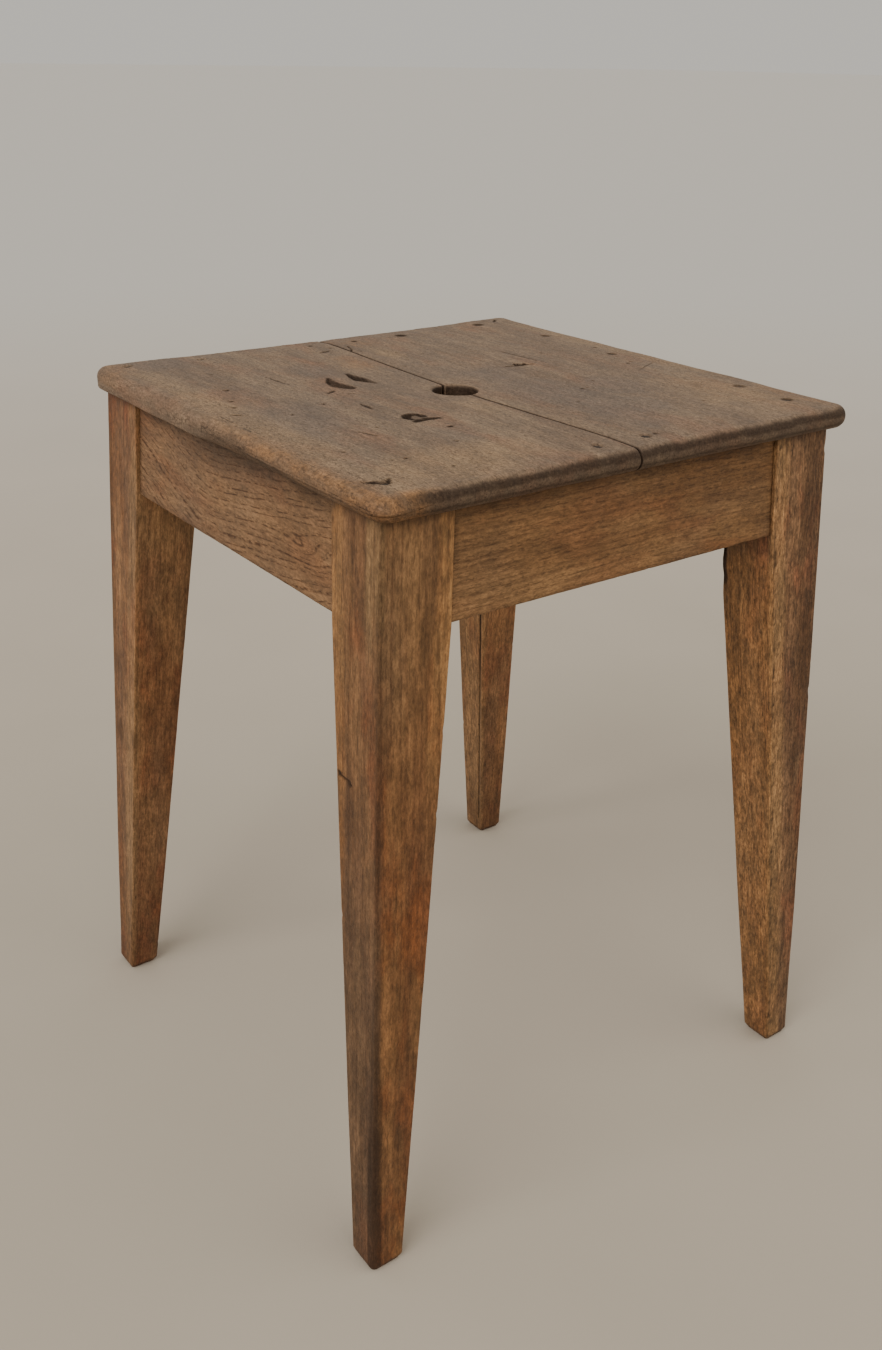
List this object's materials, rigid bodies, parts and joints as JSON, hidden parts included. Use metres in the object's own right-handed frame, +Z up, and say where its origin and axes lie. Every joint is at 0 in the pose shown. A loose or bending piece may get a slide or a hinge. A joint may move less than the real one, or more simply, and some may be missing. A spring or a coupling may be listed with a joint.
{
  "type": "stool",
  "caption": "Square wooden stool with tapered, outward-leaning legs, aprons tenoned between them and a nailed board seat with a finger hole.",
  "frame": {"origin": "on the floor under the middle of the seat", "axes": "+Z up, -Y towards the stool's front, +X to the right of someone facing that front"},
  "size_m": [0.3548, 0.3548, 0.45],
  "materials": {
    "seat_wood": "weathered, worn bare grey-brown, dark in the pores and at the edges",
    "leg_wood": "old waxed hardwood, reddish brown, handled smooth at the arrises",
    "apron_wood": "old waxed hardwood, brown, with open dark pores",
    "nail_iron": "rusted dark wrought iron"
  },
  "bodies": {
    "root": {"seat_board_left": "seat_wood", "seat_board_right": "seat_wood", "leg_front_left": "leg_wood", "leg_front_right": "leg_wood", "leg_back_left": "leg_wood", "leg_back_right": "leg_wood", "apron_front": "apron_wood", "apron_back": "apron_wood", "apron_left": "apron_wood", "apron_right": "apron_wood", "seat_nails": "nail_iron"}
  },
  "joints": []
}
